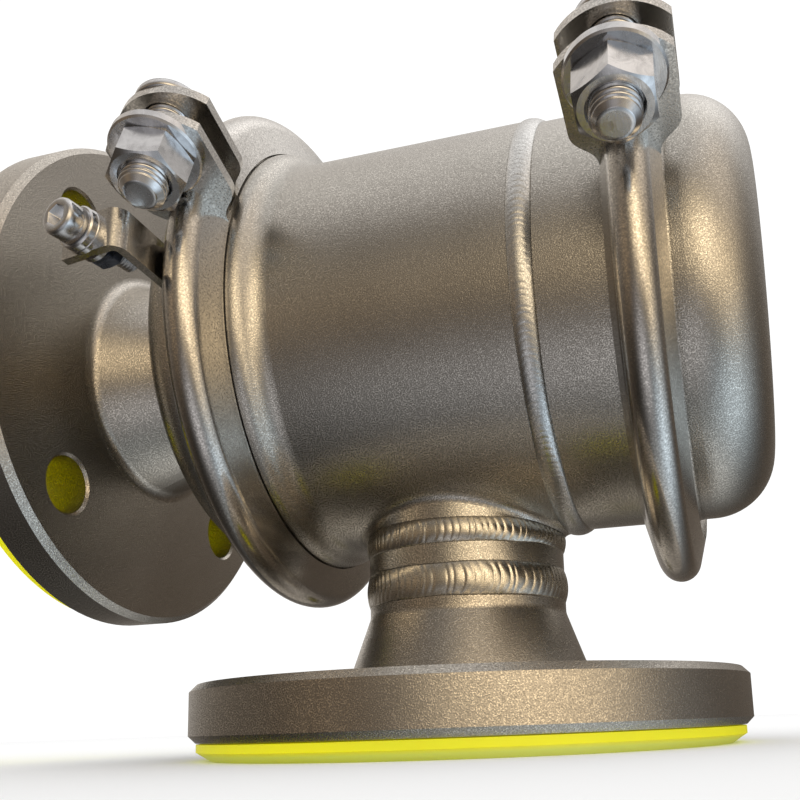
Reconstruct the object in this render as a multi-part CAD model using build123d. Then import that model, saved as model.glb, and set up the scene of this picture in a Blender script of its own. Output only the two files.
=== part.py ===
"""Clamp-housed angle valve with two weld-neck flanges, in millimetres.

The outlet flange faces down and its raised face is the plane z = 0. The body lies along X at
axis_height above it: inlet flange at -X, domed service cover at +X. Front is -Y. Everything that
turns about the body axis is drawn as (x, r) with that axis at z = 0 and lifted by on_axis.
"""

import os
from math import cos, pi, radians, sin, sqrt, tan

from build123d import *

# Flanges, weld-neck type, DN50 PN16
flange_d = 165.0
flange_thickness = 18.0
raised_face_d = 102.0
raised_face_height = 2.0
bolt_circle_d = 125.0
bolt_hole_d = 18.0
bolt_count = 4
hub_d = 74.0
hub_fillet = 4.0
flange_length = 45.0
hub_straight = 8.0
flange_chamfer = 2.0
hole_chamfer = 0.8
pipe_d = 60.3
pipe_wall = 2.9

# Layout
axis_height = 125.0
inlet_face_x = -131.0
inlet_clamp_x = -54.0
seam_x = 35.0
cover_clamp_x = 65.0
cover_end_x = 95.0
collar_end_z = 59.0

# Housing
body_d = 127.0
body_wall = 3.0
extension_d = 125.0
collar_fillet = 3.5
collar_inner_fillet = 2.0
bead_centre_offset = 8.5
bead_height = 4.6
bead_crown_r = body_d / 2 + bead_height
bead_round = 4.6
bead_root_height = 3.5
bead_root_r = body_d / 2 + bead_root_height
bead_fillet = 7.0
bead_wall = 3.5
inlet_skirt = 14.0
inlet_knuckle = 10.0
inlet_end_wall = 3.0
inlet_collar_fillet = 4.0
cover_knuckle = 19.0

# Ferrule rims and gaskets
rim_height = 8.85
rim_r = body_d / 2 + rim_height
rim_tip = 3.6
rim_fillet = 2.0
gasket_thickness = 1.5
gasket_inset = 0.25
gasket_bead_r = 2.3
gasket_bead_depth = 5.85
gasket_bead_circle_r = rim_r - gasket_bead_depth
bead_clearance = 0.1

# Clamps
clamp_sheet = 2.5
clamp_foot_depth = 3.85
clamp_foot_r = rim_r - clamp_foot_depth
clamp_foot_half = 7.6
clamp_crown_height = 8.65
clamp_crown_r = rim_r + clamp_crown_height
clamp_flank_angle = 15.0
clamp_rim_clearance = 0.4
clamp_split = 8.0
inlet_clamp_angle = 68.0
cover_clamp_angle = 72.0
lug_half_width = 13.5
lug_shoulder_drop = 2.0
lug_shoulder_r = clamp_crown_r - lug_shoulder_drop
lug_tip_margin = 9.3
lug_tip_round = 17.8
lug_thickness = 3.0
link_thickness = 2.0
link_reach = 10.0
link_wrap = 55.0
link_clearance = 0.05

# Clamp bolts, M12
bolt_d = 12.0
bolt_clearance = 0.5
bolt_head_d = 20.0
bolt_head_height = 7.0
bolt_end_chamfer = 1.8
bolt_projection = 5.0
nut_flats = 18.0
nut_height = 10.0
washer_d = 24.0
washer_thickness = 2.5
washer_crown_clearance = 0.2
bolt_circle_r = clamp_crown_r + washer_d / 2 + washer_crown_clearance
lug_tip_r = bolt_circle_r + lug_tip_margin
thread_clearance = 0.05
inlet_nut_turn = 12.0
cover_nut_turn = 0.0

# Earthing set, M6
earth_angle = 86.0
earth_x = -71.5
earth_seat_height = 12.0
earth_seat_r = clamp_crown_r + earth_seat_height
earth_tilt = 10.0
earth_tab_width = 11.0
earth_tab_thickness = 2.5
earth_tab_root_r = 69.0
earth_tab_bend_r = 71.5
earth_tab_overhang = 8.0
earth_screw_d = 6.0
earth_screw_length = 20.0
earth_head_d = 10.0
earth_head_height = 6.0
earth_socket_flats = 5.0
earth_socket_depth = 3.2
earth_hole_clearance = 0.3
earth_washer_d = 12.0
earth_washer_thickness = 1.6
earth_spring_d = 11.8
earth_spring_height = 2.0
earth_spring_gap = 1.2
earth_nut_flats = 10.0
earth_nut_height = 5.0

# Welds
weld_crown = 1.1
weld_root = 2.0
neck_weld_width = 9.5
collar_weld_width = 7.0
seam_weld_width = 6.0

# Flange protectors
protector_d = 160.6
protector_depth = 3.0
protector_taper = 4.0
protector_edge = 2.2
protector_gap = 0.3
protector_boss_wall = 2.0
protector_boss_length = 12.0

# Valve inside
seat_bore_d = 54.5
seat_base_d = 78.0
seat_base_thickness = 4.0
seat_lip_d = 60.0
seat_length = 14.0
seat_gap = 0.1
seal_thickness = 2.0
seal_inner_d = 48.0
seal_outer_d = 68.0
plate_d = 76.0
plate_thickness = 6.0
plate_hub_d = 19.0
plate_hub_length = 9.0
stem_d = 12.0
stem_tail = 12.0
stem_thread_d = 10.0
stem_nut_flats = 16.0
stem_nut_height = 6.0
bush_d = 18.0
bush_length = 16.0
bush_clearance = 0.05
fit_gap = 0.05
spider_x = 44.0
spider_thickness = 6.0
spider_rim_width = 5.0
spider_hub_d = 40.0
spider_arm_width = 7.0
spider_arm_count = 3
lift = 15.0
sleeve_d = 20.0
sleeve_wall = 2.5
spring_d = 32.0
spring_wire_d = 2.5
spring_turns = 6

on_axis = Pos(0, 0, axis_height)
pipe_r = pipe_d / 2
bore_r = pipe_r - pipe_wall
body_r = body_d / 2
body_inner_r = body_r - body_wall
extension_r = extension_d / 2
flank_tan = tan(radians(clamp_flank_angle))
flank_cos = cos(radians(clamp_flank_angle))
flank_sin = sin(radians(clamp_flank_angle))


def soften(face, corners):
    """Round each ((u, v), radius) corner of a flat face."""
    for point, radius in corners:
        face = fillet(face.vertices().sort_by_distance(Vector(*point))[0], radius)
    return face


def bevel(face, corners):
    """Chamfer each ((u, v), length) corner of a flat face."""
    for point, length in corners:
        face = chamfer(face.vertices().sort_by_distance(Vector(*point))[0], length)
    return face


def outline(*points):
    return make_face(Polyline(*points, close=True))


def turned_x(face):
    """Turn an (x, r) face about the body axis."""
    return on_axis * revolve(Plane.XZ * face, axis=Axis.X)


def turned_z(face):
    """Turn an (r, z) face about the vertical axis."""
    return revolve(Plane.XZ * face, axis=Axis.Z)


def rim_half(r):
    """Half the distance across a closed pair of ferrule rims at radius r."""
    return rim_tip + (rim_r - r) * flank_tan


def clamp_half(r):
    """Half the width of a clamp over its flanks at radius r."""
    return clamp_foot_half - (r - clamp_foot_r) * flank_tan


def tube(outer_r, inner_r, low, high):
    return turned_x(outline((low, inner_r), (high, inner_r), (high, outer_r), (low, outer_r)))


# Welds


def weld_bead(low_r, high_r, inner_r, width):
    """Closed V-groove weld about local Z between pipes of radius low_r and high_r."""
    half = width / 2
    root = weld_root / 2
    crown = max(low_r, high_r) + weld_crown
    face = make_face(
        [
            Line((inner_r, -root), (inner_r, root)),
            Line((inner_r, root), (high_r, half)),
            ThreePointArc((high_r, half), (crown, 0), (low_r, -half)),
            Line((low_r, -half), (inner_r, -root)),
        ]
    )
    return turned_z(face)


def outlet_weld():
    return Pos(0, 0, flange_length) * weld_bead(pipe_r, pipe_r, bore_r, neck_weld_width)


def collar_weld():
    return Pos(0, 0, collar_end_z) * weld_bead(pipe_r, pipe_r, bore_r, collar_weld_width)


def inlet_weld():
    bead = weld_bead(pipe_r, pipe_r, bore_r, collar_weld_width)
    return on_axis * Pos(inlet_face_x + flange_length, 0, 0) * Rot(0, 90, 0) * bead


def seam_weld():
    bead = weld_bead(body_r, extension_r, body_inner_r, seam_weld_width)
    return on_axis * Pos(seam_x, 0, 0) * Rot(0, 90, 0) * bead


# Flanges


def weld_neck_flange():
    """Flange with its raised face at z = 0 and its neck towards +Z."""
    od_r = flange_d / 2
    straight_z = flange_length - hub_straight
    face = outline(
        (bore_r, 0),
        (raised_face_d / 2, 0),
        (raised_face_d / 2, raised_face_height),
        (od_r, raised_face_height),
        (od_r, flange_thickness),
        (hub_d / 2, flange_thickness),
        (pipe_r, straight_z),
        (pipe_r, flange_length),
        (bore_r, flange_length),
    )
    face = soften(face, [((hub_d / 2, flange_thickness), hub_fillet), ((pipe_r, straight_z), hub_fillet)])
    face = bevel(face, [((od_r, raised_face_height), flange_chamfer), ((od_r, flange_thickness), flange_chamfer)])
    solid = turned_z(face)
    hole_r = bolt_hole_d / 2
    drill = turned_z(
        outline(
            (0, raised_face_height - 1),
            (hole_r + hole_chamfer + 1, raised_face_height - 1),
            (hole_r, raised_face_height + hole_chamfer),
            (hole_r, flange_thickness - hole_chamfer),
            (hole_r + hole_chamfer + 1, flange_thickness + 1),
            (0, flange_thickness + 1),
        )
    )
    for place in PolarLocations(bolt_circle_d / 2, bolt_count, start_angle=45):
        solid -= place * drill
    return solid


def outlet_flange():
    return weld_neck_flange() - outlet_weld()


def inlet_flange():
    flange = on_axis * Pos(inlet_face_x, 0, 0) * Rot(0, 90, 0) * weld_neck_flange()
    return flange - inlet_weld()


def outlet_spool():
    ring = outline((bore_r, flange_length), (pipe_r, flange_length), (pipe_r, collar_end_z), (bore_r, collar_end_z))
    return turned_z(ring) - outlet_weld() - collar_weld()


# Housing


def rolled_bead(x):
    """Outer edge of the rolled bead beside the inlet clamp, from its root to the plain barrel."""
    centre_r = bead_crown_r - bead_round
    reach = bead_round + bead_fillet
    fillet_r = body_r + bead_fillet
    run = sqrt(reach**2 - (fillet_r - centre_r) ** 2)
    join = (x + bead_round / reach * run, centre_r + bead_round / reach * (fillet_r - centre_r))
    root_x = x - sqrt(bead_round**2 - (bead_root_r - centre_r) ** 2)
    crown = ThreePointArc((root_x, bead_root_r), (x, bead_crown_r), join)
    return crown, TangentArc([join, (x + run, body_r)], tangent=crown % 1)


def body_tee():
    """Barrel with a rolled bead and rim at the inlet end and a collar drawn out for the outlet."""
    face_x = inlet_clamp_x + gasket_thickness / 2
    root_x = inlet_clamp_x + rim_half(bead_root_r)
    bead_x = inlet_clamp_x + bead_centre_offset
    crown, blend = rolled_bead(bead_x)
    skin = [
        Line((face_x, 0), (face_x, rim_r)),
        Line((face_x, rim_r), (inlet_clamp_x + rim_tip, rim_r)),
        Line((inlet_clamp_x + rim_tip, rim_r), (root_x, bead_root_r)),
        Line((root_x, bead_root_r), crown @ 0),
        crown,
        blend,
        Line(blend @ 1, (seam_x, body_r)),
        Line((seam_x, body_r), (seam_x, 0)),
        Line((seam_x, 0), (face_x, 0)),
    ]
    outer = turned_x(make_face(skin))
    collar_top = axis_height - body_inner_r / 2
    outer += Pos(0, 0, (collar_end_z + collar_top) / 2) * Cylinder(pipe_r, collar_top - collar_end_z)
    outer = fillet(saddle_edges(outer, pipe_r), collar_fillet)
    hollow_half = bead_round - 0.5
    inner = turned_x(
        make_face(
            [
                Line((face_x, 0), (face_x, body_inner_r)),
                Line((face_x, body_inner_r), (bead_x - hollow_half, body_inner_r)),
                ThreePointArc(
                    (bead_x - hollow_half, body_inner_r),
                    (bead_x, bead_crown_r - bead_wall),
                    (bead_x + hollow_half, body_inner_r),
                ),
                Line((bead_x + hollow_half, body_inner_r), (seam_x, body_inner_r)),
                Line((seam_x, body_inner_r), (seam_x, 0)),
                Line((seam_x, 0), (face_x, 0)),
            ]
        )
    )
    inner += Pos(0, 0, (collar_end_z + collar_top) / 2) * Cylinder(bore_r, collar_top - collar_end_z)
    inner = fillet(saddle_edges(inner, bore_r), collar_inner_fillet)
    return outer - inner - collar_weld() - seam_weld() - gasket_groove(inlet_clamp_x)


def saddle_edges(solid, radius):
    """The curve where an upright pipe of this radius leaves the barrel."""
    return [
        edge
        for edge in solid.edges()
        if edge.geom_type not in (GeomType.LINE, GeomType.CIRCLE)
        and abs(edge.center().X) <= radius + 1
        and edge.center().Z < axis_height - body_inner_r / 2
    ]


def body_extension():
    """Short pipe from the seam to the rim under the cover clamp."""
    face_x = cover_clamp_x - gasket_thickness / 2
    foot_x = cover_clamp_x - rim_half(extension_r)
    face = outline(
        (seam_x, body_inner_r),
        (face_x, body_inner_r),
        (face_x, rim_r),
        (cover_clamp_x - rim_tip, rim_r),
        (foot_x, extension_r),
        (seam_x, extension_r),
    )
    face = soften(face, [((foot_x, extension_r), rim_fillet)])
    return turned_x(face) - seam_weld() - gasket_groove(cover_clamp_x)


def cover_rim():
    """Rim of the service cover, up to its join with the domed end."""
    face_x = cover_clamp_x + gasket_thickness / 2
    foot_x = cover_clamp_x + rim_half(extension_r)
    end_x = cover_end_x - cover_knuckle
    face = outline(
        (end_x, body_inner_r),
        (face_x, body_inner_r),
        (face_x, rim_r),
        (cover_clamp_x + rim_tip, rim_r),
        (foot_x, extension_r),
        (end_x, extension_r),
    )
    face = soften(face, [((foot_x, extension_r), rim_fillet)])
    return turned_x(face) - gasket_groove(cover_clamp_x)


def domed_cover():
    start_x = cover_end_x - cover_knuckle
    wall = extension_r - body_inner_r
    corner_r = extension_r - cover_knuckle
    shell = [
        CenterArc((start_x, corner_r), cover_knuckle, 0, 90),
        Line((start_x, extension_r), (start_x, body_inner_r)),
        CenterArc((start_x, corner_r), cover_knuckle - wall, 0, 90),
        Line((cover_end_x - wall, corner_r), (cover_end_x - wall, 0)),
        Line((cover_end_x - wall, 0), (cover_end_x, 0)),
        Line((cover_end_x, 0), (cover_end_x, corner_r)),
    ]
    return turned_x(make_face(shell))


def inlet_cover():
    """Dished inlet end: rim, skirt, rounded knuckle and a drawn collar for the inlet pipe."""
    face_x = inlet_clamp_x - gasket_thickness / 2
    foot_x = inlet_clamp_x - rim_half(body_r)
    knuckle_x = inlet_clamp_x - inlet_skirt
    end_x = knuckle_x - inlet_knuckle
    inner_x = end_x + inlet_end_wall
    weld_x = inlet_face_x + flange_length
    face = outline(
        (face_x, body_inner_r),
        (face_x, rim_r),
        (inlet_clamp_x - rim_tip, rim_r),
        (foot_x, body_r),
        (end_x, body_r),
        (end_x, pipe_r),
        (weld_x, pipe_r),
        (weld_x, bore_r),
        (inner_x, bore_r),
        (inner_x, body_inner_r),
    )
    face = soften(
        face,
        [
            ((foot_x, body_r), rim_fillet),
            ((end_x, body_r), inlet_knuckle),
            ((inner_x, body_inner_r), inlet_knuckle - inlet_end_wall),
            ((end_x, pipe_r), inlet_collar_fillet),
        ],
    )
    return turned_x(face) - inlet_weld() - gasket_groove(inlet_clamp_x)


# Gaskets


def gasket_bead(x, radius):
    return on_axis * Pos(x, 0, 0) * Rot(0, 90, 0) * Torus(gasket_bead_circle_r, radius)


def gasket_groove(x):
    return gasket_bead(x, gasket_bead_r + bead_clearance)


def rim_gasket(x):
    half = gasket_thickness / 2
    ring = tube(rim_r - gasket_inset, body_inner_r + gasket_inset, x - half, x + half)
    return ring + gasket_bead(x, gasket_bead_r)


# Clamps


def split_plane(x, angle):
    """Local X along the body, local Y out along the lugs, local Z across the split."""
    turn = radians(angle)
    return Plane(origin=(x, 0, axis_height), x_dir=(1, 0, 0), z_dir=(0, -cos(turn), -sin(turn)))


def crown_centre_r():
    """Centre of the round that runs tangent into both flanks of a clamp."""
    return (clamp_crown_r - flank_cos * clamp_foot_half - flank_sin * clamp_foot_r) / (1 - flank_sin)


def channel_face(inset):
    """(x, r) outline of a clamp's V channel, moved inwards by inset, closed across its foot."""
    centre_r = crown_centre_r()
    round_r = clamp_crown_r - centre_r - inset
    foot = clamp_foot_half - inset / flank_cos
    turn_x = round_r * flank_cos
    turn_r = centre_r + round_r * flank_sin
    return make_face(
        [
            Line((-foot, clamp_foot_r), (foot, clamp_foot_r)),
            Line((foot, clamp_foot_r), (turn_x, turn_r)),
            ThreePointArc((turn_x, turn_r), (0, centre_r + round_r), (-turn_x, turn_r)),
            Line((-turn_x, turn_r), (-foot, clamp_foot_r)),
        ]
    )


def clamp_ring(x):
    return Pos(x, 0, 0) * turned_x(channel_face(0) - channel_face(clamp_sheet))


def rim_envelope(x):
    """Room that a lug leaves for the pair of rims in its clamp."""
    top_r = rim_r + clamp_rim_clearance
    low_r = clamp_foot_r - clamp_sheet
    top = rim_half(top_r) + clamp_rim_clearance
    low = rim_half(low_r) + clamp_rim_clearance
    return turned_x(outline((x - low, low_r), (x + low, low_r), (x + top, top_r), (x - top, top_r)))


def lug_face():
    half = lug_half_width
    foot = clamp_half(clamp_foot_r)
    shoulder = lug_tip_r - lug_tip_round + sqrt(lug_tip_round**2 - half**2)
    up = (0, 1)
    right = Spline([(foot, clamp_foot_r), (half, lug_shoulder_r)], tangents=[up, up])
    left = Spline([(-foot, clamp_foot_r), (-half, lug_shoulder_r)], tangents=[up, up])
    return make_face(
        [
            Line((-foot, clamp_foot_r), (foot, clamp_foot_r)),
            right,
            Line((half, lug_shoulder_r), (half, shoulder)),
            ThreePointArc((half, shoulder), (0, lug_tip_r), (-half, shoulder)),
            Line((-half, shoulder), (-half, lug_shoulder_r)),
            left,
        ]
    )


def clamp_part(x, angle, side):
    """One half of a clamp with its lug; side is 1 for the nut half and -1 for the head half."""
    plane = split_plane(x, angle)
    near = side * clamp_split / 2
    reach = 2 * lug_tip_r
    keep = plane * Pos(0, 0, near + side * reach / 2) * Box(reach, 2 * reach, reach)
    lug = extrude(plane * Pos(0, 0, near) * lug_face(), amount=side * lug_thickness, dir=plane.z_dir)
    lug -= rim_envelope(x)
    part = (clamp_ring(x) & keep) + lug
    hole_r = bolt_d / 2 + bolt_clearance
    part -= plane * Pos(0, bolt_circle_r, near) * Cylinder(hole_r, 4 * lug_thickness)
    return part


def clamp_link(x, angle):
    """Saddle strap across the rear split, spot welded to both halves."""
    centre_r = crown_centre_r()
    low = clamp_crown_r - centre_r + link_clearance
    high = low + link_thickness
    wrap = radians(link_wrap)
    strap = make_face(
        [
            CenterArc((0, centre_r), high, 90 - link_wrap, 2 * link_wrap),
            CenterArc((0, centre_r), low, 90 - link_wrap, 2 * link_wrap),
            Line((low * sin(wrap), centre_r + low * cos(wrap)), (high * sin(wrap), centre_r + high * cos(wrap))),
            Line((-low * sin(wrap), centre_r + low * cos(wrap)), (-high * sin(wrap), centre_r + high * cos(wrap))),
        ]
    )
    bent = revolve(Plane.XZ * strap, axis=Axis.X, revolution_arc=2 * link_reach)
    # local Z is up at the start; the strap is centred on the rear of the split
    return Pos(x, 0, axis_height) * Rot(angle + 180 - link_reach, 0, 0) * bent


# Clamp bolts


def hex_nut(flats, height, bore_d):
    """Nut seated on z = 0, with both ends chamfered round and a corner along +Y."""
    corner_r = flats / sqrt(3)
    drop = (corner_r - flats / 2 * 0.95) * tan(radians(30))
    body = extrude(RegularPolygon(corner_r, 6, rotation=90), amount=height)
    keep = turned_z(
        outline(
            (0, 0),
            (flats / 2 * 0.95, 0),
            (corner_r, drop),
            (corner_r, height - drop),
            (flats / 2 * 0.95, height),
            (0, height),
        )
    )
    countersink = bore_d / 2 + height / 12
    bore = turned_z(
        outline(
            (0, -1),
            (countersink, -1),
            (countersink, 0),
            (bore_d / 2, height / 12),
            (bore_d / 2, height - height / 12),
            (countersink, height),
            (countersink, height + 1),
            (0, height + 1),
        )
    )
    return (body & keep) - bore


def washer(outer_d, bore_d, thickness):
    ring = outline((bore_d / 2, 0), (outer_d / 2, 0), (outer_d / 2, thickness), (bore_d / 2, thickness))
    ring = bevel(ring, [((outer_d / 2, thickness), thickness / 5)])
    return turned_z(ring)


def lug_outer_face():
    return clamp_split / 2 + lug_thickness


def clamp_bolt():
    """Round-head bolt along local Z; z = 0 is the middle of the split."""
    seat = lug_outer_face()
    end = seat + washer_thickness + nut_height + bolt_projection
    shank_r = bolt_d / 2
    head_r = bolt_head_d / 2
    edge = bolt_head_height / 3
    dome = bolt_head_height - edge
    dome_r = (head_r**2 + dome**2) / (2 * dome)
    shank = outline(
        (0, -seat),
        (shank_r, -seat),
        (shank_r, end - bolt_end_chamfer),
        (shank_r - bolt_end_chamfer, end),
        (0, end),
    )
    ball = Pos(0, 0, -seat - bolt_head_height + dome_r) * Sphere(dome_r)
    blank = Pos(0, 0, -seat - bolt_head_height / 2) * Cylinder(head_r, bolt_head_height)
    return turned_z(shank) + (blank & ball)


def clamp_places():
    return (
        (inlet_clamp_x, inlet_clamp_angle, inlet_nut_turn),
        (cover_clamp_x, cover_clamp_angle, cover_nut_turn),
    )


def clamp_set(piece, offset):
    """The same fastener at both clamps, offset along its bolt from the middle of the split."""
    return Compound(
        children=[
            split_plane(x, angle) * Pos(0, bolt_circle_r, offset) * Rot(0, 0, turn) * piece
            for x, angle, turn in clamp_places()
        ]
    )


def clamp_washer():
    return washer(washer_d, bolt_d + 2 * bolt_clearance, washer_thickness)


def clamp_nut():
    return hex_nut(nut_flats, nut_height, bolt_d + 2 * thread_clearance)


# Earthing set


def earth_place():
    """Local Z out along the screw, with z = 0 on the tab's outer face."""
    plane = split_plane(0, earth_angle)
    return plane * Pos(earth_x, earth_seat_r, 0) * Rot(-90, 0, 0) * Rot(0, -earth_tilt, 0)


def earthing_tab():
    """Bent strip that rises along the clamp's flank and turns out under the screw."""
    t = earth_tab_thickness
    slope = tan(radians(earth_tilt))
    fall = t / cos(radians(earth_tilt))
    root_x = -clamp_half(earth_tab_root_r)
    leg_x = -clamp_half(earth_tab_bend_r)
    screw_x = earth_x - inlet_clamp_x
    end_x = screw_x - earth_tab_overhang
    end_r = earth_seat_r + (end_x - screw_x) * slope
    top_r = earth_seat_r + (leg_x - screw_x) * slope
    strip = outline(
        (root_x, earth_tab_root_r),
        (leg_x, earth_tab_bend_r),
        (leg_x, top_r),
        (end_x, end_r),
        (end_x, end_r - fall),
        (leg_x - t, top_r - fall - t * slope),
        (leg_x - t, earth_tab_bend_r),
        (root_x - t, earth_tab_root_r),
    )
    strip = soften(strip, [((leg_x, top_r), 1.5 * t), ((leg_x - t, top_r - fall - t * slope), 0.5 * t)])
    plane = split_plane(inlet_clamp_x, earth_angle)
    bar = extrude(plane * strip, amount=earth_tab_width / 2, dir=plane.z_dir, both=True)
    return bar - earth_place() * Cylinder(earth_screw_d / 2 + earth_hole_clearance, 4 * t)


def earth_washer():
    return washer(earth_washer_d, earth_screw_d + 2 * earth_hole_clearance, earth_washer_thickness)


def earthing_washers():
    outer = earth_place() * earth_washer()
    inner = earth_place() * Pos(0, 0, -earth_tab_thickness) * Rot(180, 0, 0) * earth_washer()
    return Compound(children=[outer, inner])


def earthing_spring_washer():
    """Split ring, cut by a slanting gap."""
    ring = washer(earth_spring_d, earth_screw_d + 2 * earth_hole_clearance, earth_spring_height)
    gap = Pos(0, earth_spring_d / 2, earth_spring_height / 2) * Rot(0, 35, 0)
    ring -= gap * Box(earth_spring_gap, earth_spring_d, 4 * earth_spring_height)
    return earth_place() * Pos(0, 0, earth_washer_thickness) * ring


def earthing_screw():
    seat = earth_washer_thickness + earth_spring_height
    top = seat + earth_head_height
    end = seat - earth_screw_length
    shank_r = earth_screw_d / 2
    head_r = earth_head_d / 2
    face = outline(
        (0, end),
        (shank_r, end),
        (shank_r, seat),
        (head_r, seat),
        (head_r, top),
        (0, top),
    )
    face = bevel(face, [((shank_r, end), shank_r / 4), ((head_r, top), head_r / 8)])
    socket_r = earth_socket_flats / sqrt(3)
    socket = Pos(0, 0, top - earth_socket_depth) * extrude(RegularPolygon(socket_r, 6), amount=earth_socket_depth)
    return earth_place() * (turned_z(face) - socket)


def earthing_nut():
    nut = hex_nut(earth_nut_flats, earth_nut_height, earth_screw_d + 2 * thread_clearance)
    seat = earth_tab_thickness + earth_washer_thickness
    return earth_place() * Pos(0, 0, -seat) * Rot(180, 0, 25) * nut


# Protectors


def flange_protector():
    """Push-in cap over a flange face: local Z = 0 is the raised face and the boss points +Z."""
    disc_r = protector_d / 2
    top = raised_face_height - protector_gap
    recess = -protector_gap
    boss_r = bore_r - protector_gap
    inner = boss_r - protector_boss_wall
    boss_top = protector_boss_length
    face = outline(
        (0, -protector_depth),
        (disc_r - protector_taper, -protector_depth),
        (disc_r, top - protector_edge),
        (disc_r, top),
        (raised_face_d / 2 + protector_gap, top),
        (raised_face_d / 2 + protector_gap, recess),
        (boss_r, recess),
        (boss_r, boss_top),
        (inner, boss_top),
        (inner, recess),
        (0, recess),
    )
    face = soften(face, [((boss_r, boss_top), protector_boss_wall / 3)])
    return turned_z(face)


def inlet_protector():
    return on_axis * Pos(inlet_face_x, 0, 0) * Rot(0, 90, 0) * flange_protector()


# Valve inside


def seat_base_x():
    return inlet_clamp_x - inlet_skirt - inlet_knuckle + inlet_end_wall


def seal_face_x():
    return seat_base_x() + seat_length + seat_gap


def plate_back_x():
    return seal_face_x() + plate_thickness


def hub_end_x():
    return plate_back_x() + plate_hub_length


def seat_ring():
    """Ring welded inside the inlet cover, with a raised lip that the seal closes on."""
    base = seat_base_x()
    face = outline(
        (base, seat_bore_d / 2),
        (base, seat_base_d / 2),
        (base + seat_base_thickness, seat_base_d / 2),
        (base + seat_base_thickness, seat_lip_d / 2 + 2),
        (base + seat_length, seat_lip_d / 2),
        (base + seat_length, seat_bore_d / 2),
    )
    face = soften(face, [((base + seat_base_thickness, seat_lip_d / 2 + 2), 2)])
    return turned_x(face)


def plate_seal():
    low = seal_face_x()
    return tube(seal_outer_d / 2, seal_inner_d / 2, low, low + seal_thickness)


def valve_plate():
    """Closing plate with a groove for its seal and a hub for the stem."""
    low = seal_face_x()
    high = plate_back_x()
    face = outline(
        (low + seal_thickness, stem_d / 2),
        (low + seal_thickness, plate_d / 2),
        (high, plate_d / 2),
        (high, plate_hub_d / 2),
        (hub_end_x(), plate_hub_d / 2),
        (hub_end_x(), stem_d / 2),
    )
    face = bevel(face, [((high, plate_d / 2), 1.5)])
    boss = tube(seal_inner_d / 2, stem_d / 2, low, low + seal_thickness)
    return turned_x(face) + boss


def bush_end_x():
    return spider_x + bush_length


def valve_stem():
    """Guide stem, stepped down to a thread behind the bush."""
    thread_x = bush_end_x() + 2
    end_x = thread_x + stem_tail
    face = outline(
        (seal_face_x(), 0),
        (seal_face_x(), stem_d / 2),
        (thread_x, stem_d / 2),
        (thread_x, stem_thread_d / 2),
        (end_x, stem_thread_d / 2),
        (end_x, 0),
    )
    face = bevel(face, [((end_x, stem_thread_d / 2), 1)])
    return turned_x(face)


def stem_nut():
    nut = hex_nut(stem_nut_flats, stem_nut_height, stem_thread_d + 2 * thread_clearance)
    return on_axis * Pos(bush_end_x() + 2, 0, 0) * Rot(0, 90, 0) * nut


def guide_spider():
    """Ring in the extension pipe with arms to the hub that holds the bush."""
    rim_outer = body_inner_r - fit_gap
    rim_inner = rim_outer - spider_rim_width
    high = spider_x + spider_thickness
    spider = tube(rim_outer, rim_inner, spider_x, high)
    spider += tube(spider_hub_d / 2, bush_d / 2 + fit_gap, spider_x, high)
    arm_low = spider_hub_d / 2 - 1
    arm_high = rim_inner + 1
    arm = Box(spider_thickness, spider_arm_width, arm_high - arm_low)
    for i in range(spider_arm_count):
        turn = Rot(360 / spider_arm_count * i, 0, 0)
        place = Pos(spider_x + spider_thickness / 2, 0, (arm_low + arm_high) / 2)
        spider += on_axis * turn * place * arm
    return spider


def guide_bush():
    return tube(bush_d / 2, stem_d / 2 + bush_clearance, spider_x, bush_end_x())


def stop_sleeve():
    """Tube around the stem that the plate's hub meets at full lift."""
    inner = sleeve_d / 2 - sleeve_wall
    return tube(sleeve_d / 2, inner, hub_end_x() + lift + seat_gap, spider_x - fit_gap)


def return_spring():
    """Coil around the stop sleeve, from the plate to the spider's hub."""
    wire_r = spring_wire_d / 2
    low = plate_back_x() + wire_r + fit_gap
    high = spider_x - wire_r - fit_gap
    coil_r = (spring_d - spring_wire_d) / 2
    pitch = (high - low) / spring_turns
    path = Helix(pitch, high - low, coil_r, center=(low, 0, 0), direction=(1, 0, 0))
    section = Plane(origin=path @ 0, z_dir=path % 0) * Circle(wire_r)
    return on_axis * sweep(section, path=path)


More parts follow.
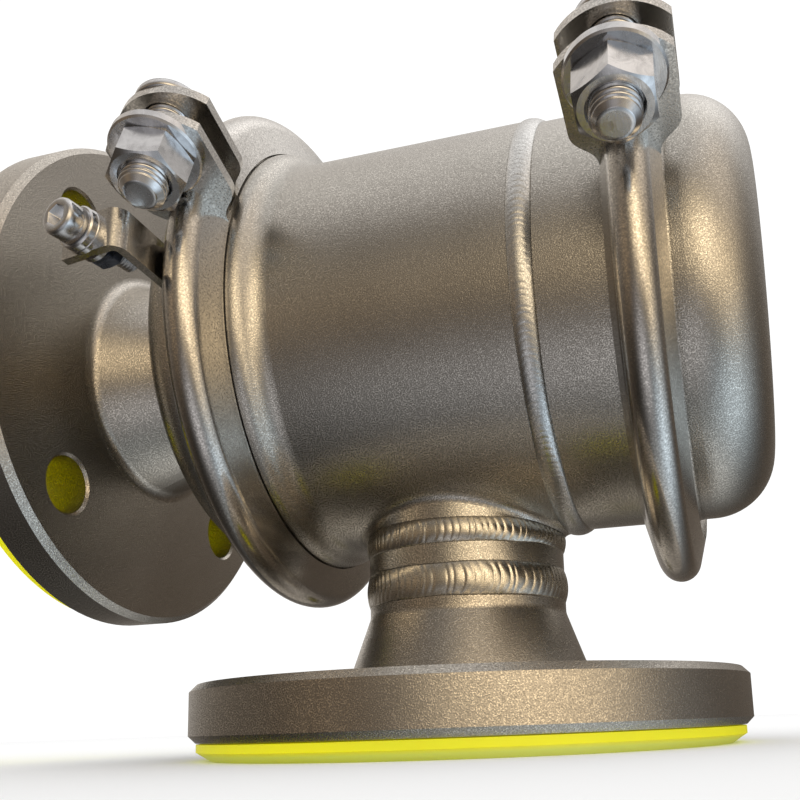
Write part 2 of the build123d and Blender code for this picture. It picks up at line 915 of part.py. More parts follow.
nodes = {
    "inlet_flange": inlet_flange,
    "inlet_weld": inlet_weld,
    "inlet_cover": inlet_cover,
    "inlet_gasket": lambda: rim_gasket(inlet_clamp_x),
    "body_tee": body_tee,
    "seam_weld": seam_weld,
    "body_extension": body_extension,
    "cover_gasket": lambda: rim_gasket(cover_clamp_x),
    "cover_rim": cover_rim,
    "domed_cover": domed_cover,
    "collar_weld": collar_weld,
    "outlet_spool": outlet_spool,
    "outlet_weld": outlet_weld,
    "outlet_flange": outlet_flange,
    "inlet_clamp_front": lambda: clamp_part(inlet_clamp_x, inlet_clamp_angle, 1),
    "inlet_clamp_rear": lambda: clamp_part(inlet_clamp_x, inlet_clamp_angle, -1),
    "inlet_clamp_link": lambda: clamp_link(inlet_clamp_x, inlet_clamp_angle),
    "cover_clamp_front": lambda: clamp_part(cover_clamp_x, cover_clamp_angle, 1),
    "cover_clamp_rear": lambda: clamp_part(cover_clamp_x, cover_clamp_angle, -1),
    "cover_clamp_link": lambda: clamp_link(cover_clamp_x, cover_clamp_angle),
    "clamp_bolts": lambda: clamp_set(clamp_bolt(), 0),
    "clamp_washers": lambda: clamp_set(clamp_washer(), lug_outer_face()),
    "clamp_nuts": lambda: clamp_set(clamp_nut(), lug_outer_face() + washer_thickness),
    "earthing_tab": earthing_tab,
    "earthing_washers": earthing_washers,
    "earthing_spring_washer": earthing_spring_washer,
    "earthing_screw": earthing_screw,
    "earthing_nut": earthing_nut,
    "inlet_protector": inlet_protector,
    "outlet_protector": flange_protector,
    "seat_ring": seat_ring,
    "plate_seal": plate_seal,
    "valve_plate": valve_plate,
    "valve_stem": valve_stem,
    "stem_nut": stem_nut,
    "guide_spider": guide_spider,
    "guide_bush": guide_bush,
    "stop_sleeve": stop_sleeve,
    "return_spring": return_spring,
}

os.makedirs("parts", exist_ok=True)
for name, make in nodes.items():
    export_step(make(), f"parts/{name}.step")
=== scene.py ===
import math

import bmesh
import bpy
import numpy as np
from mathutils import Matrix, Vector


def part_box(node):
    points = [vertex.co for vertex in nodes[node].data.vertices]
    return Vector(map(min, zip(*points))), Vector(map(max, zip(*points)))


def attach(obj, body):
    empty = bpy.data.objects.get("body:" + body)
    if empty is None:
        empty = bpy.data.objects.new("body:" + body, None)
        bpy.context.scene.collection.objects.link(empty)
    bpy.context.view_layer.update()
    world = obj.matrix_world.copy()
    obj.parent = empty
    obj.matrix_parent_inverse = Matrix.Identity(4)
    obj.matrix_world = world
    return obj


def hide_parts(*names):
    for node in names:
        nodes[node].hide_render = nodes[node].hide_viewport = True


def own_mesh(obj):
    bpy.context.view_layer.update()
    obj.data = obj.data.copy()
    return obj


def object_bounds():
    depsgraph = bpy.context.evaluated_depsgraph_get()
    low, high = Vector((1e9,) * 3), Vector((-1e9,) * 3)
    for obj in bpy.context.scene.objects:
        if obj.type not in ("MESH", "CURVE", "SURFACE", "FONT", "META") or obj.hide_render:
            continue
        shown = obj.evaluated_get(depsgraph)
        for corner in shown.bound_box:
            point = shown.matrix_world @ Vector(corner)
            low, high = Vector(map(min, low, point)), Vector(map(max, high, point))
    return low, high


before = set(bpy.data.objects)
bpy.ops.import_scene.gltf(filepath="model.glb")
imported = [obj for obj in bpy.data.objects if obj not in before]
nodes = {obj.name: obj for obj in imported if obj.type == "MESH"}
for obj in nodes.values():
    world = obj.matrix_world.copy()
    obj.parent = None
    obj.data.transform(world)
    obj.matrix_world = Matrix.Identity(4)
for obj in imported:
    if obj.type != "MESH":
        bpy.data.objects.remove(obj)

cad_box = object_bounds()

# ---------------------------------------------------------------- materials


def shader(name, metallic, roughness):
    mat = bpy.data.materials.new(name)
    mat.use_nodes = True
    bsdf = mat.node_tree.nodes["Principled BSDF"]
    bsdf.inputs["Metallic"].default_value = metallic
    bsdf.inputs["Roughness"].default_value = roughness
    return mat, mat.node_tree, bsdf


def place_coordinates(tree, stretch=(1, 1, 1)):
    """Object coordinates, in metres, stretched along one axis for brushed or drawn marks."""
    coords = tree.nodes.new("ShaderNodeTexCoord")
    mapping = tree.nodes.new("ShaderNodeMapping")
    mapping.inputs["Scale"].default_value = stretch
    tree.links.new(coords.outputs["Object"], mapping.inputs["Vector"])
    return mapping.outputs["Vector"]


def noise(tree, vector, scale, detail=2.0, rough=0.5, distortion=0.0):
    node = tree.nodes.new("ShaderNodeTexNoise")
    node.inputs["Scale"].default_value = scale
    node.inputs["Detail"].default_value = detail
    node.inputs["Roughness"].default_value = rough
    node.inputs["Distortion"].default_value = distortion
    tree.links.new(vector, node.inputs["Vector"])
    return node.outputs["Fac"]


def remap(tree, value, low, high, to_low, to_high):
    node = tree.nodes.new("ShaderNodeMapRange")
    node.inputs["From Min"].default_value = low
    node.inputs["From Max"].default_value = high
    node.inputs["To Min"].default_value = to_low
    node.inputs["To Max"].default_value = to_high
    tree.links.new(value, node.inputs["Value"])
    return node.outputs["Result"]


def blend_colour(tree, factor, first, second):
    """Mix of two colours, each a tuple or another colour output."""
    node = tree.nodes.new("ShaderNodeMix")
    node.data_type = "RGBA"
    tree.links.new(factor, node.inputs["Factor"])
    for socket, value in ((node.inputs[6], first), (node.inputs[7], second)):
        if isinstance(value, tuple):
            socket.default_value = (*value, 1)
        else:
            tree.links.new(value, socket)
    return node.outputs[2]


def add(tree, first, second, weight):
    node = tree.nodes.new("ShaderNodeMath")
    node.operation = "MULTIPLY_ADD"
    node.inputs[1].default_value = weight
    tree.links.new(second, node.inputs[0])
    tree.links.new(first, node.inputs[2])
    return node.outputs["Value"]


def bump(tree, bsdf, height, strength, distance):
    node = tree.nodes.new("ShaderNodeBump")
    node.inputs["Strength"].default_value = strength
    node.inputs["Distance"].default_value = distance
    tree.links.new(height, node.inputs["Height"])
    tree.links.new(node.outputs["Normal"], bsdf.inputs["Normal"])


def blasted_metal(name, dark, light, painted_glint, rough, grain_size, depth):
    """Bead-blasted stainless: peened grain with painted sparkle highlights on its peaks and painted shade
    in its pits, soft handling marks, slow drift of tone.
    """
    mat, tree, bsdf = shader(name, 1.0, rough)
    at = place_coordinates(tree)
    grain = noise(tree, at, 1 / grain_size, 1.0, 0.5)
    coarse = noise(tree, at, 0.3 / grain_size, 2.0, 0.5)
    drift = noise(tree, at, 16.0, 3.0, 0.55, 0.4)
    smears = noise(tree, place_coordinates(tree, (1.0, 1.0, 0.35)), 55.0, 4.0, 0.6, 0.8)
    tone = blend_colour(tree, remap(tree, drift, 0.35, 0.68, 0, 1), dark, light)
    tone = blend_colour(tree, remap(tree, smears, 0.60, 0.78, 0, 0.25), tone, dark)
    # Painted shade in the grain's pits: the base colour darkens where the grain, and so the bump, is low.
    painted_pit_shade = tuple(0.62 * v for v in dark)
    tone = blend_colour(tree, remap(tree, grain, 0.46, 0.34, 0, 0.55), tone, painted_pit_shade)
    # Painted sparkle highlights: the base colour turns towards a bright glint colour on the grain's peaks.
    tone = blend_colour(tree, remap(tree, grain, 0.55, 0.68, 0, 0.75), tone, painted_glint)
    tree.links.new(tone, bsdf.inputs["Base Color"])
    fine = remap(tree, grain, 0.35, 0.72, rough + 0.06, rough - 0.09)
    tree.links.new(add(tree, fine, remap(tree, drift, 0.3, 0.7, -1, 1), 0.035), bsdf.inputs["Roughness"])
    bump(tree, bsdf, add(tree, grain, coarse, 0.12), 0.5, depth)
    return mat


def turned_metal(name, colour, rough, wear):
    """Bright fastener steel with fine drawn marks and small dull patches."""
    mat, tree, bsdf = shader(name, 1.0, rough)
    at = place_coordinates(tree)
    marks = noise(tree, place_coordinates(tree, (1.0, 0.12, 0.12)), 2600.0, 2.0, 0.6)
    patches = noise(tree, at, 240.0, 4.0, 0.6, 0.5)
    tone = blend_colour(tree, remap(tree, patches, 0.42, 0.70, 0, 1), colour, wear)
    tree.links.new(tone, bsdf.inputs["Base Color"])
    dull = remap(tree, patches, 0.38, 0.72, rough - 0.05, rough + 0.16)
    tree.links.new(add(tree, dull, marks, 0.06), bsdf.inputs["Roughness"])
    bump(tree, bsdf, add(tree, marks, patches, 0.8), 0.12, 0.00012)
    return mat


# Each finish gives its dark tone, light tone, painted glint highlight colour, roughness, grain size and
# bump depth.
blasted = blasted_metal(
    "blasted_steel", (0.44, 0.42, 0.385), (0.54, 0.52, 0.485), (0.90, 0.87, 0.80), 0.29, 0.00033, 0.00010
)
flange_steel = blasted_metal(
    "flange_steel", (0.42, 0.39, 0.35), (0.53, 0.50, 0.455), (0.90, 0.85, 0.76), 0.30, 0.00036, 0.00011
)
clamp_steel = blasted_metal(
    "clamp_steel", (0.52, 0.50, 0.47), (0.65, 0.63, 0.60), (0.84, 0.81, 0.76), 0.21, 0.00050, 0.00003
)
weld_metal = blasted_metal(
    "weld_steel", (0.56, 0.53, 0.47), (0.70, 0.67, 0.60), (0.92, 0.88, 0.80), 0.24, 0.00030, 0.00005
)
seam_metal = blasted_metal(
    "seam_steel", (0.56, 0.56, 0.55), (0.68, 0.68, 0.67), (0.92, 0.92, 0.90), 0.30, 0.00040, 0.00007
)
bright = turned_metal("bright_steel", (0.72, 0.72, 0.73), 0.17, (0.52, 0.52, 0.53))
blackened = turned_metal("dark_steel", (0.085, 0.095, 0.125), 0.24, (0.20, 0.22, 0.27))
sprung = turned_metal("spring_steel", (0.55, 0.55, 0.55), 0.26, (0.42, 0.41, 0.40))


def moulded_yellow():
    """Translucent moulded cap: strong yellow, a paler green-yellow towards its bottom, and a weak emission
    that is a painted glow to brighten it.
    """
    mat, tree, bsdf = shader("yellow_plastic", 0.0, 0.38)
    at = place_coordinates(tree)
    flow = noise(tree, at, 26.0, 3.0, 0.5, 0.6)
    skin = noise(tree, at, 1500.0, 2.0, 0.5)
    tone = blend_colour(tree, remap(tree, flow, 0.35, 0.7, 0, 1), (0.82, 0.77, 0.004), (0.75, 0.73, 0.008))
    split = tree.nodes.new("ShaderNodeSeparateXYZ")
    coords = tree.nodes.new("ShaderNodeTexCoord")
    tree.links.new(coords.outputs["Object"], split.inputs["Vector"])
    low = remap(tree, split.outputs["Z"], -0.0006, -0.0016, 0, 1)
    tree.links.new(blend_colour(tree, low, tone, (0.66, 0.72, 0.17)), bsdf.inputs["Base Color"])
    tree.links.new(remap(tree, flow, 0.3, 0.7, 0.32, 0.46), bsdf.inputs["Roughness"])
    bsdf.inputs["Subsurface Weight"].default_value = 0.5
    bsdf.inputs["Subsurface Radius"].default_value = (0.008, 0.006, 0.0015)
    # Painted glow: a weak yellow emission brightens the cap, which is no lamp.
    bsdf.inputs["Emission Color"].default_value = (0.95, 0.90, 0.0, 1)
    bsdf.inputs["Emission Strength"].default_value = 0.13
    bump(tree, bsdf, skin, 0.10, 0.00008)
    return mat


def seal_white():
    mat, tree, bsdf = shader("white_seal", 0.0, 0.42)
    at = place_coordinates(tree)
    cloud = noise(tree, at, 60.0, 3.0)
    tone = blend_colour(tree, cloud, (0.80, 0.79, 0.76), (0.72, 0.70, 0.66))
    tree.links.new(tone, bsdf.inputs["Base Color"])
    bump(tree, bsdf, noise(tree, at, 1800.0), 0.08, 0.0001)
    return mat


yellow = moulded_yellow()
white = seal_white()

# One finish for each of the record's material slots, and a closer one for the pieces whose surface differs.
finishes = {
    "blasted_steel": blasted,
    "weld_steel": weld_metal,
    "bright_steel": bright,
    "dark_steel": blackened,
    "spring_steel": sprung,
    "yellow_plastic": yellow,
    "white_seal": white,
}
special = {
    "inlet_flange": flange_steel,
    "outlet_flange": flange_steel,
    "inlet_clamp_front": clamp_steel,
    "inlet_clamp_rear": clamp_steel,
    "cover_clamp_front": clamp_steel,
    "cover_clamp_rear": clamp_steel,
    "inlet_clamp_link": clamp_steel,
    "cover_clamp_link": clamp_steel,
    "earthing_tab": clamp_steel,
}


def dress(obj, mat):
    """Gives a CAD node its finish, in the slots that it already has."""
    for used in obj.material_slots:
        used.material = mat


for name, obj in nodes.items():
    slot = obj.material_slots[0].material.name.split(".")[0]
    dress(obj, special.get(name) or finishes[slot])

# ---------------------------------------------------------------- mesh tools


def make_object(name, verts, faces, mat, slot, body, replaced=None):
    """A smooth-shaded piece that rides on a body, and stands for a CAD node if one is named."""
    mesh = bpy.data.meshes.new(name)
    mesh.from_pydata([tuple(v) for v in verts], [], [tuple(f) for f in faces])
    mesh.validate()
    bm = bmesh.new()
    bm.from_mesh(mesh)
    bmesh.ops.recalc_face_normals(bm, faces=bm.faces)
    bm.to_mesh(mesh)
    bm.free()
    obj = bpy.data.objects.new(name, mesh)
    bpy.context.scene.collection.objects.link(obj)
    mesh.materials.append(mat)
    mesh.polygons.foreach_set("use_smooth", [True] * len(mesh.polygons))
    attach(obj, body)
    if replaced:
        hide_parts(replaced)
    return obj


def centre_of(node, low=-9.0, high=9.0):
    """Area centre of the solids of a CAD node whose faces lie between two x places."""
    total = 0.0
    weighted = Vector((0, 0, 0))
    for poly in nodes[node].data.polygons:
        if low < poly.center.x < high:
            weighted += poly.center * poly.area
            total += poly.area
    return weighted / total


def reach(node, origin, axis, low=-9.0, high=9.0):
    """Lowest and highest place of a CAD node's points along an axis, for points between two x places."""
    along = [(v.co - origin).dot(axis) for v in nodes[node].data.vertices if low < v.co.x < high]
    return min(along), max(along)


def turned_frame(origin, axis):
    """Matrix with local Z along axis."""
    z = axis.normalized()
    x = Vector((1, 0, 0)) - z * z.x  # the axes used here never lie along X
    x.normalize()
    y = z.cross(x)
    return Matrix((
        (x.x, y.x, z.x, origin.x), (x.y, y.y, z.y, origin.y), (x.z, y.z, z.z, origin.z), (0, 0, 0, 1)
    ))


def grid_faces(rows, cols, offset=0):
    """Quads of a grid closed round its columns."""
    out = []
    for i in range(rows - 1):
        for j in range(cols):
            k = (j + 1) % cols
            row = offset + i * cols
            out.append((row + j, row + k, row + cols + k, row + cols + j))
    return out


# ---------------------------------------------------------------- welds


def scale_height(phase):
    """One overlapping weld scale: steep behind, rounded in front."""
    p = phase - math.floor(phase)
    q = p ** 0.7
    return max(0.0, 1.0 - (2 * q - 1) ** 2) ** 0.6


def rippled_weld(node, along, centre, radii, inner_r, pitch, depth, bow, seed, mat=None):
    """Weld bead of overlapping scales round an axis. radii are the pipe's on each side of the bead.

    pitch and depth are a scale's, bow is how far its middle runs ahead of its ends, in scales, and the
    scales and the bead's edges vary a little, as a hand-held torch leaves them.
    """
    low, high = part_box(node)
    axis = "XYZ".index(along)
    side = (axis + 1) % 3
    crown_r = (high[side] - low[side]) / 2
    middle = (low[axis] + high[axis]) / 2
    half = (high[axis] - low[axis]) / 2
    rng = np.random.default_rng(seed)
    turns = max(8, round(2 * math.pi * crown_r / pitch))
    stretch = rng.normal(0, 0.16, turns)
    heights = 0.55 + 0.45 * rng.random(turns)
    wander_count = 24
    wander = rng.normal(0, 0.055, wander_count)
    cols = turns * 11
    rows = 17
    sunk = 0.00007  # the crown sits this much into the CAD bead's skin, and the edges a little more
    edge_sunk = 0.00009
    overlap = 1.06  # the mesh runs just past the CAD bead on both sides, so no gap line shows
    verts = []
    for i in range(rows):
        t = -1 + 2 * i / (rows - 1)
        for j in range(cols):
            turn = j / cols
            k = int(turn * turns) % turns
            ease = turn * turns - int(turn * turns)
            shift = stretch[k] * (1 - ease) + stretch[(k + 1) % turns] * ease
            w = turn * wander_count
            a, b = wander[int(w) % wander_count], wander[(int(w) + 1) % wander_count]
            edge = a + (b - a) * (w - int(w))
            phase = turn * turns + shift + bow * t * t
            scale = heights[int(math.floor(phase)) % turns]
            round_t = max(0.0, 1 - t * t)
            swell = (crown_r - max(radii)) * (round_t ** 0.85)
            base = radii[0] * (1 - t) / 2 + radii[1] * (1 + t) / 2
            r = base + swell - depth * (1 - scale * scale_height(phase)) * round_t ** 0.6
            r = max(r - sunk, base - edge_sunk)
            place = middle + t * half * (overlap + edge * 0.6)
            angle = 2 * math.pi * turn
            flat = (r * math.sin(angle), -r * math.cos(angle))
            verts.append(on_axis(along, place, flat, centre))
    root_half = 0.0009
    for place in (root_half, -root_half):
        for j in range(cols):
            angle = 2 * math.pi * j / cols
            flat = (inner_r * math.sin(angle), -inner_r * math.cos(angle))
            verts.append(on_axis(along, middle + place, flat, centre))
    faces = grid_faces(rows + 2, cols)
    last = (rows + 1) * cols
    for j in range(cols):
        k = (j + 1) % cols
        faces.append((last + j, last + k, k, j))
    return make_object(node + "_ripples", verts, faces, mat or weld_metal, "weld_steel", "housing", node)


def on_axis(along, place, flat, centre):
    """Point at a place along the X or Z axis: flat is (sideways, towards the back) across it."""
    if along == "Z":
        return (flat[0], flat[1], place)
    return (place, flat[1], centre + flat[0])


pipe_wall = 0.0029
extension_wall = 0.0025
tee_r = 0.0635
axis_z = (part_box("body_extension")[0].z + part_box("body_extension")[1].z) / 2
pipe_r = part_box("outlet_spool")[1].x
pipe_in = pipe_r - pipe_wall
extension_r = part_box("domed_cover")[1].y
extension_in = extension_r - extension_wall

rippled_weld("outlet_weld", "Z", axis_z, (pipe_r, pipe_r), pipe_in, 0.0027, 0.00042, 0.75, 3)
rippled_weld("collar_weld", "Z", axis_z, (pipe_r, pipe_r), pipe_in, 0.0023, 0.00034, 0.65, 8)
rippled_weld("inlet_weld", "X", axis_z, (pipe_r, pipe_r), pipe_in, 0.0024, 0.00034, 0.6, 5)
seam_radii = (tee_r, extension_r)
rippled_weld("seam_weld", "X", axis_z, seam_radii, extension_in, 0.0021, 0.00010, 1.1, 6, seam_metal)

# ---------------------------------------------------------------- fasteners


def thread_r(major, pitch, depth, z, angle):
    """Radius of a thread with narrow flat roots at a height and angle."""
    p = z / pitch - angle / (2 * math.pi)
    p -= math.floor(p)
    ridge = 1 - abs(2 * p - 1)
    return major - depth * (1 - min(1.0, 1.35 * ridge))


def lathe(profile, cols, radius_at=None):
    """Turned mesh from (r, z) points; radius_at(z, angle) may carve a point's radius further."""
    verts, faces = [], []
    for r, z in profile:
        for j in range(cols):
            angle = 2 * math.pi * j / cols
            rr = min(r, radius_at(z, angle)) if radius_at else r
            verts.append((rr * math.cos(angle), rr * math.sin(angle), z))
    faces = grid_faces(len(profile), cols)
    faces.append(tuple(reversed(range(cols))))
    faces.append(tuple((len(profile) - 1) * cols + j for j in range(cols)))
    return verts, faces


def merge(groups):
    """Joins (verts, faces) pairs into one pair."""
    verts, faces = [], []
    for v, f in groups:
        n = len(verts)
        verts += v
        faces += [tuple(n + i for i in face) for face in f]
    return verts, faces


def moved(verts, matrix):
    return [matrix @ Vector(v) for v in verts]


def clamp_bolt(low, high):
    """Round-head bolt with a rolled thread, set where the CAD bolt is."""
    washer = centre_of("clamp_washers", low, high)
    nut = centre_of("clamp_nuts", low, high)
    axis = (nut - washer).normalized()
    start, end = reach("clamp_bolts", washer, axis, low, high)
    shank_r = 0.006
    head_r = 0.010
    head_h = 0.007
    seat = start + head_h
    cols = 72
    tip_r = 0.0004
    pitch = 0.00175
    thread_depth = 0.00078
    chamfer = 0.0019
    thread_start = seat + 0.002
    steps = int((end - seat - 0.002) / pitch * 10)
    shank = [(shank_r - 0.0002, seat)]
    shank += [(shank_r, thread_start + (end - seat - 0.002) * i / steps) for i in range(steps + 1)]
    shank += [(shank_r * 0.55, end), (tip_r, end)]

    def carved(z, angle):
        r = thread_r(shank_r, pitch, thread_depth, z, angle) if z > thread_start else shank_r
        return min(r, shank_r - max(0.0, z - (end - chamfer)) * 0.95)

    edge = head_h / 3
    dome = head_h - edge
    ball = (head_r ** 2 + dome ** 2) / (2 * dome)
    head = [(tip_r, start)]
    top = start + ball
    for i in range(1, 15):
        a = math.asin(head_r / ball) * i / 14
        head.append((ball * math.sin(a), top - ball * math.cos(a)))
    head += [(head_r, seat - edge * 0.4), (head_r - 0.0002, seat - 0.0002)]
    head += [(head_r - 0.0006, seat), (tip_r, seat)]
    verts, faces = merge([lathe(shank, cols, carved), lathe(head, cols)])
    return moved(verts, turned_frame(washer, axis)), faces


# The inlet clamp's bolt lies at -X of the outlet axis and the cover clamp's at +X.
bolts = merge([clamp_bolt(-1, 0), clamp_bolt(0, 1)])
make_object("clamp_bolts_threaded", *bolts, bright, "bright_steel", "housing", "clamp_bolts")


def hex_r(flats, angle):
    """Distance from the middle to the wall of a hexagon."""
    part = (angle + math.pi / 6) % (math.pi / 3) - math.pi / 6
    return flats / 2 / math.cos(part)


def earthing_screw():
    """Socket-head screw with a hexagon socket and a rolled thread."""
    nut = centre_of("earthing_nut")
    spring = centre_of("earthing_spring_washer")
    axis = (spring - nut).normalized()
    start, end = reach("earthing_screw", nut, axis)
    head_h = 0.006
    seat = end - head_h
    head_r = 0.005
    cols = 96
    pitch = 0.0010
    steps = int((seat - start) / pitch * 10)
    shank = [(0.0003, start)]
    shank += [(0.003, start + (seat - start) * i / steps) for i in range(steps + 1)]
    shank += [(0.0003, seat)]

    def carved(z, angle):
        r = thread_r(0.003, pitch, 0.00050, z, angle)
        return min(r, 0.0030 - max(0.0, start + 0.0009 - z) * 0.8)

    screw = lathe(shank, cols, carved)
    rows = []
    outer = [(0.0003, seat), (head_r - 0.0004, seat), (head_r, seat + 0.0003), (head_r, end - 0.0010)]
    outer += [(head_r - 0.00018, end - 0.00045), (head_r - 0.0007, end - 0.00004), (head_r - 0.0011, end)]
    for r, z in outer:
        rows.append([(r, z)] * cols)
    flats = 0.005
    deep = end - 0.0032
    angles = [2 * math.pi * j / cols for j in range(cols)]
    rows.append([(hex_r(flats, a) + 0.0003, end) for a in angles])
    rows.append([(hex_r(flats, a), end - 0.0003) for a in angles])
    rows.append([(hex_r(flats, a), deep) for a in angles])
    rows.append([(hex_r(flats, a) * 0.5, deep - 0.0003) for a in angles])
    rows.append([(0.0002, deep - 0.0006)] * cols)
    verts = [(r * math.cos(a), r * math.sin(a), z) for row in rows for (r, z), a in zip(row, angles)]
    faces = grid_faces(len(rows), cols)
    faces.append(tuple(reversed(range(cols))))
    faces.append(tuple((len(rows) - 1) * cols + j for j in range(cols)))
    turn = turned_frame(nut, axis)
    shank_verts = moved(screw[0], turn)
    head_verts = moved(verts, turn)
    return (head_verts, faces), (shank_verts, screw[1])


head, shank = earthing_screw()
make_object("earthing_screw_head", *head, bright, "bright_steel", "housing", "earthing_screw")
make_object("earthing_screw_thread", *shank, sprung, "bright_steel", "housing")


def return_spring():
    """The coil that closes the valve, wound as one fixed mesh over the CAD spring's length."""
    low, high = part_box("return_spring")
    wire_r = 0.00125
    turns = 6
    steps = 48
    cols = 14
    coil_r = (high[1] - low[1]) / 2 - wire_r
    axis_z = (low[2] + high[2]) / 2
    first, last = low[0] + wire_r, high[0] - wire_r
    verts = []
    for i in range(turns * steps + 1):
        angle = 2 * math.pi * i / steps
        out = Vector((0, math.cos(angle), math.sin(angle)))
        round_coil = Vector((0, -math.sin(angle), math.cos(angle))) * coil_r * 2 * math.pi * turns
        across = (round_coil + Vector((last - first, 0, 0))).normalized().cross(out)
        spine = Vector((first + (last - first) * i / (turns * steps), 0, axis_z)) + out * coil_r
        for j in range(cols):
            turn = 2 * math.pi * j / cols
            verts.append(spine + (out * math.cos(turn) + across * math.sin(turn)) * wire_r)
    rows = turns * steps + 1
    faces = grid_faces(rows, cols)
    faces.append(tuple(reversed(range(cols))))
    faces.append(tuple((rows - 1) * cols + j for j in range(cols)))
    slot = "spring_steel"
    spring = make_object("return_spring_coil", verts, faces, sprung, slot, "housing", "return_spring")
    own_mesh(spring)


return_spring()

# ---------------------------------------------------------------- stage


def pale_floor(radius=6.0, cols=96):
    """Wide pale disc under the part. Glossy rays pass through it and see the room instead."""
    floor_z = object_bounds()[0].z
    rim = [2 * math.pi * j / cols for j in range(cols)]
    verts = [(0, 0, floor_z)]
    verts += [(radius * math.cos(a), radius * math.sin(a), floor_z) for a in rim]
    mesh = bpy.data.meshes.new("floor")
    mesh.from_pydata(verts, [], [(0, j + 1, (j + 1) % cols + 1) for j in range(cols)])
    floor = bpy.data.objects.new("floor", mesh)
    bpy.context.scene.collection.objects.link(floor)
    paper, tree, bsdf = shader("floor_paper", 0.0, 0.9)
    cloud = noise(tree, place_coordinates(tree), 3.0, 2.0)
    tone = blend_colour(tree, cloud, (0.90, 0.90, 0.90), (0.88, 0.88, 0.88))
    tree.links.new(tone, bsdf.inputs["Base Color"])
    bsdf.inputs["Specular IOR Level"].default_value = 0.0
    mesh.materials.append(paper)
    floor.visible_glossy = False


pale_floor()

# The room that glossy rays see: its tone from floor to ceiling, then soft round lights in it, each with
# its azimuth from the front (-Y) towards +X and its elevation in degrees, its colour and its tightness.
room_tones = [
    (0.00, (0.28, 0.29, 0.29)),
    (0.06, (0.060, 0.055, 0.050)),
    (0.20, (0.030, 0.026, 0.022)),
    (0.45, (0.085, 0.064, 0.046)),
    (0.60, (0.135, 0.108, 0.082)),
    (0.82, (0.17, 0.150, 0.130)),
    (0.93, (0.46, 0.43, 0.41)),
    (1.00, (0.62, 0.60, 0.58)),
]
room_lights = [
    (20, 18, (2.05, 1.64, 1.08), 19.0),
    (58, 3, (1.25, 0.98, 0.62), 15.0),
    (-38, 9, (0.18, 0.125, 0.07), 20.0),
    (86, -42, (0.98, 1.16, 1.32), 9.0),
    (2, -38, (0.66, 0.65, 0.67), 14.0),
    (172, -60, (0.75, 0.76, 0.75), 13.0),
    (72, 45, (0.70, 0.60, 0.49), 14.0),
    (150, 56, (1.00, 0.99, 0.98), 13.0),
    (-142, 24, (0.80, 0.78, 0.75), 9.0),
    (-95, 42, (0.26, 0.23, 0.19), 7.0),
]


def vector_math(tree, operation, first, second):
    """A vector node. second is another output or a fixed vector."""
    node = tree.nodes.new("ShaderNodeVectorMath")
    node.operation = operation
    tree.links.new(first, node.inputs[0])
    if isinstance(second, tuple):
        node.inputs[1].default_value = second
    else:
        tree.links.new(second, node.inputs[1])
    return node


def glow(tree, direction, before, azimuth, elevation, colour, tightness):
    """Adds a soft round light to the colours before it."""
    az, el = math.radians(azimuth), math.radians(elevation)
    towards = (math.sin(az) * math.cos(el), -math.cos(az) * math.cos(el), math.sin(el))
    dot = vector_math(tree, "DOT_PRODUCT", direction, towards).outputs["Value"]
    fall = tree.nodes.new("ShaderNodeMath")
    fall.operation = "MULTIPLY_ADD"
    fall.inputs[1].default_value = tightness
    fall.inputs[2].default_value = -tightness
    tree.links.new(dot, fall.inputs[0])
    spread = tree.nodes.new("ShaderNodeMath")
    spread.operation = "EXPONENT"
    tree.links.new(fall.outputs["Value"], spread.inputs[0])
    lit = tree.nodes.new("ShaderNodeVectorMath")
    lit.operation = "SCALE"
    lit.inputs[0].default_value = colour
    tree.links.new(spread.outputs["Value"], lit.inputs["Scale"])
    return vector_math(tree, "ADD", before, lit.outputs["Vector"]).outputs["Vector"]


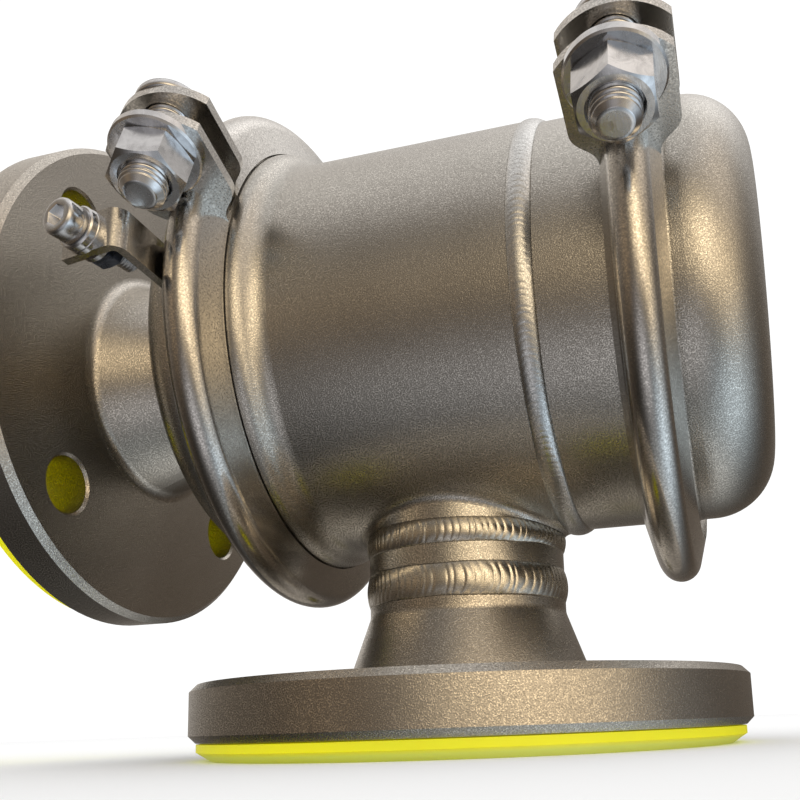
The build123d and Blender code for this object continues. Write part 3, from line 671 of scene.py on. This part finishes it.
def studio():
    """Plain white all round, except that glossy rays see the room."""
    world = bpy.data.worlds.new("studio")
    bpy.context.scene.world = world
    world.use_nodes = True
    tree = world.node_tree
    tree.nodes.clear()
    direction = tree.nodes.new("ShaderNodeTexCoord").outputs["Generated"]
    split = tree.nodes.new("ShaderNodeSeparateXYZ")
    tree.links.new(direction, split.inputs["Vector"])
    ramp = tree.nodes.new("ShaderNodeValToRGB")
    tree.links.new(remap(tree, split.outputs["Z"], -1, 1, 0, 1), ramp.inputs["Fac"])
    ends = ramp.color_ramp.elements
    for stop, (place, colour) in ((ends[0], room_tones[0]), (ends[1], room_tones[-1])):
        stop.position = place
        stop.color = (*colour, 1)
    for place, colour in room_tones[1:-1]:
        ramp.color_ramp.elements.new(place).color = (*colour, 1)
    lit_room = ramp.outputs["Color"]
    for light in room_lights:
        lit_room = glow(tree, direction, lit_room, *light)
    plain = tree.nodes.new("ShaderNodeBackground")
    plain.inputs["Color"].default_value = (1, 1, 1, 1)
    plain.inputs["Strength"].default_value = 1.1
    room = tree.nodes.new("ShaderNodeBackground")
    tree.links.new(lit_room, room.inputs["Color"])
    room.inputs["Strength"].default_value = 1.0
    mix = tree.nodes.new("ShaderNodeMixShader")
    ray = tree.nodes.new("ShaderNodeLightPath")
    tree.links.new(ray.outputs["Is Glossy Ray"], mix.inputs["Fac"])
    tree.links.new(plain.outputs["Background"], mix.inputs[1])
    tree.links.new(room.outputs["Background"], mix.inputs[2])
    out = tree.nodes.new("ShaderNodeOutputWorld")
    tree.links.new(mix.outputs["Shader"], out.inputs["Surface"])


studio()


def softbox(name, place, target, size, watts, colour):
    """Soft rectangular light that faces its target."""
    light = bpy.data.lights.new(name, "AREA")
    light.shape = "RECTANGLE"
    light.size, light.size_y = size
    light.energy = watts
    light.color = colour
    obj = bpy.data.objects.new(name, light)
    bpy.context.scene.collection.objects.link(obj)
    obj.location = place
    obj.rotation_mode = "QUATERNION"
    obj.rotation_quaternion = (Vector(target) - Vector(place)).to_track_quat("-Z", "Y")
    obj.visible_camera = False


middle = (cad_box[0] + cad_box[1]) / 2
softbox("ceiling", (0.0, -0.2, 1.5), middle, (1.6, 1.2), 1.1, (0.97, 0.98, 1.0))
softbox("front_warm", (0.75, -1.0, 0.35), middle, (0.5, 0.7), 0.8, (1.0, 0.82, 0.58))
softbox("back_fill", (-0.6, 1.1, 0.6), middle, (0.8, 0.6), 0.5, (1.0, 0.97, 0.94))

# ---------------------------------------------------------------- camera


def photo_camera():
    """Camera low in front of the outlet flange, looking up at the body, with its lens shifted."""
    yaw, pitch, roll = math.radians(15.404), math.radians(11.010), math.radians(-2.063)
    eye = Vector((0.08395, -0.28495, 0.00472))
    data = bpy.data.cameras.new("camera")
    data.sensor_width = 36
    data.lens = 43.28865
    data.shift_x = -0.10365
    data.shift_y = 0.17
    data.clip_start = 0.01
    data.clip_end = 50
    camera = bpy.data.objects.new("camera", data)
    bpy.context.scene.collection.objects.link(camera)
    look = Vector((-math.sin(yaw) * math.cos(pitch), math.cos(yaw) * math.cos(pitch), math.sin(pitch)))
    level = Vector((math.cos(yaw), math.sin(yaw), 0))
    upright = level.cross(look)
    right = level * math.cos(roll) + upright * math.sin(roll)
    up = -level * math.sin(roll) + upright * math.cos(roll)
    camera.matrix_world = Matrix((
        (right.x, up.x, -look.x, eye.x),
        (right.y, up.y, -look.y, eye.y),
        (right.z, up.z, -look.z, eye.z),
        (0, 0, 0, 1),
    ))
    bpy.context.scene.camera = camera


photo_camera()
bpy.context.scene.view_settings.view_transform = "Standard"
